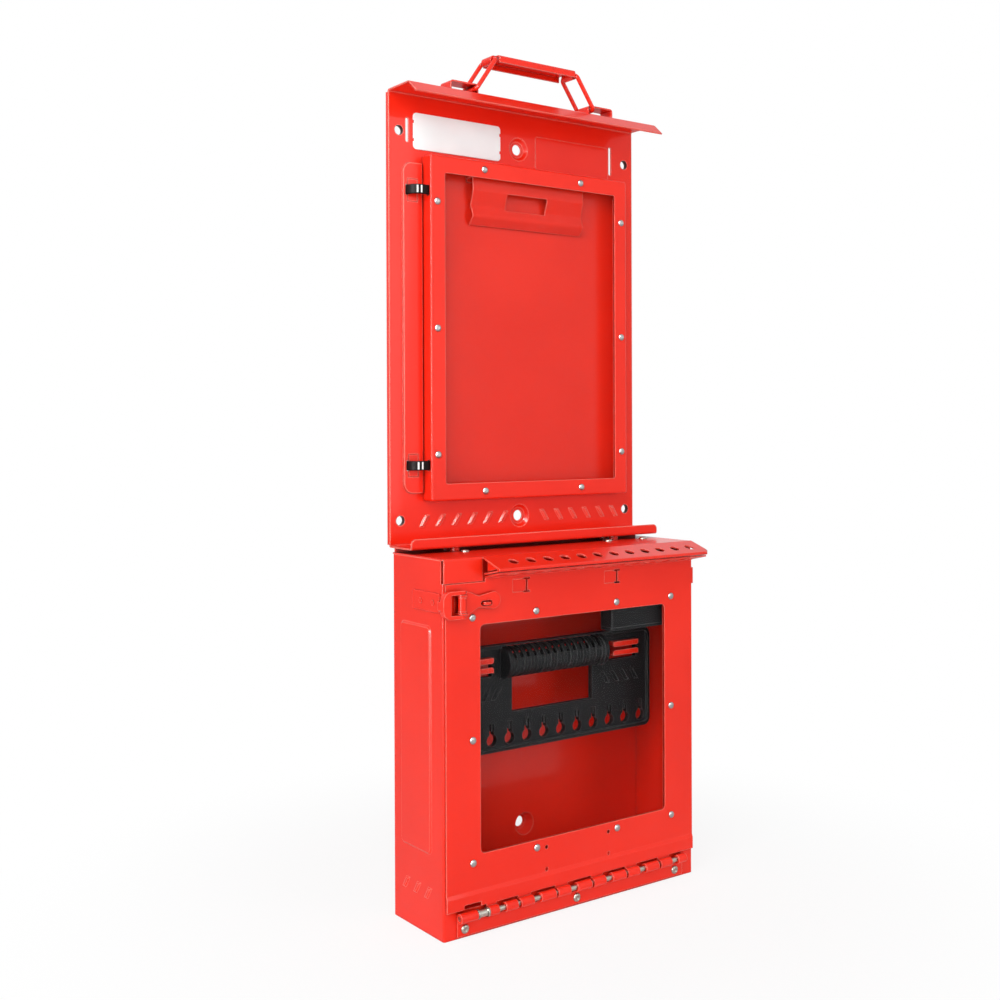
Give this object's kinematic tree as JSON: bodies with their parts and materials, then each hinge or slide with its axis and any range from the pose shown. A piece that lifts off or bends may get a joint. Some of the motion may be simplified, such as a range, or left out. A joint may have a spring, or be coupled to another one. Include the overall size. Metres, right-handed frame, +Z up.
{
  "type": "group lockout box with document station",
  "caption": "Red sheet-steel group lockout box: windowed drop-down door under a padlock bar, key rack inside, and a folding-handled document station with a swing frame above.",
  "frame": {"origin": "middle of the box's underside, half way between the wall plane and the front tip of the padlock bar", "axes": "+X to the viewer's right, -Y towards the viewer, +Z up"},
  "size_m": [0.3275, 0.1272, 0.858],
  "materials": {
    "red_steel": "glossy powder coat",
    "black_plastic": "satin moulded",
    "satin_steel": "satin",
    "clear_pane": "clear polished sheet",
    "white_plate": "smooth"
  },
  "bodies": {
    "station": {"station_panel": "red_steel", "label_plate": "white_plate", "box_shell": "red_steel", "box_cover": "red_steel", "cover_screws": "satin_steel", "tray_spacers": "satin_steel", "tray_screws": "satin_steel", "handle_bridges": "red_steel", "bridge_rivets": "satin_steel", "hinge_leaf": "satin_steel", "hinge_pin": "satin_steel", "hinge_collar": "satin_steel", "hinge_screws": "satin_steel", "latch_keeper": "red_steel", "keeper_rivets": "red_steel", "hinge_rings": "black_plastic", "clip_bracket": "red_steel", "clip_pin": "satin_steel", "rack_brackets": "red_steel"},
    "grip": {"handle_grip": "red_steel"},
    "link_left": {"handle_link_left": "red_steel"},
    "link_right": {"handle_link_right": "red_steel"},
    "frame": {"document_frame": "red_steel", "document_window": "clear_pane", "frame_retainer": "red_steel", "frame_rivets": "satin_steel"},
    "clip": {"document_clip": "satin_steel"},
    "door": {"door_panel": "red_steel", "door_window": "clear_pane", "door_retainer": "red_steel", "door_rivets": "satin_steel", "key_chute": "black_plastic", "latch_bracket": "red_steel", "latch_pin": "red_steel", "latch_staple": "red_steel"},
    "strap": {"latch_strap": "red_steel"},
    "tongue": {"latch_tongue": "red_steel"},
    "rack": {"key_rack": "black_plastic", "rack_grip": "black_plastic"}
  },
  "joints": [
    {"name": "grip_drop", "type": "slide", "parent": "station", "child": "grip", "axis": [0, 0, -1], "range_m": [0, 0.0355]},
    {"name": "link_left_fold", "type": "hinge", "parent": "grip", "child": "link_left", "pos_m": [-0.0525, 0.03815, 0.854], "axis": [0, 1, 0], "range_deg": [0, 57.5]},
    {"name": "link_right_fold", "type": "hinge", "parent": "grip", "child": "link_right", "pos_m": [0.0525, 0.03815, 0.854], "axis": [0, -1, 0], "range_deg": [0, 57.5]},
    {"name": "frame_swing", "type": "hinge", "parent": "station", "child": "frame", "pos_m": [-0.128, 0.05765, 0.579], "axis": [0, 0, -1], "range_deg": [0, 100]},
    {"name": "clip_tilt", "type": "hinge", "parent": "station", "child": "clip", "pos_m": [0.008, 0.05265, 0.739], "axis": [-1, 0, 0], "range_deg": [0, 3], "stiffness_Nm_per_rad": 0.4, "springref_deg": -5.73},
    {"name": "door_drop", "type": "hinge", "parent": "station", "child": "door", "pos_m": [-0.00115, -0.04035, 0.0205], "axis": [1, 0, 0], "range_deg": [0, 90]},
    {"name": "strap_swing", "type": "hinge", "parent": "door", "child": "strap", "pos_m": [-0.1435, -0.04355, 0.3146], "axis": [0, 0, 1], "range_deg": [0, 60]},
    {"name": "tongue_swing", "type": "hinge", "parent": "door", "child": "tongue", "pos_m": [-0.1435, -0.04355, 0.3146], "axis": [0, 0, -1], "range_deg": [0, 80]},
    {"name": "rack_lift", "type": "slide", "parent": "station", "child": "rack", "axis": [0, 0, 1], "range_m": [0, 0.004]}
  ],
  "couplings": [
    {"joint": "link_left_fold", "follows": "grip_drop", "rad_per_m": 28},
    {"joint": "link_right_fold", "follows": "grip_drop", "rad_per_m": 28}
  ]
}
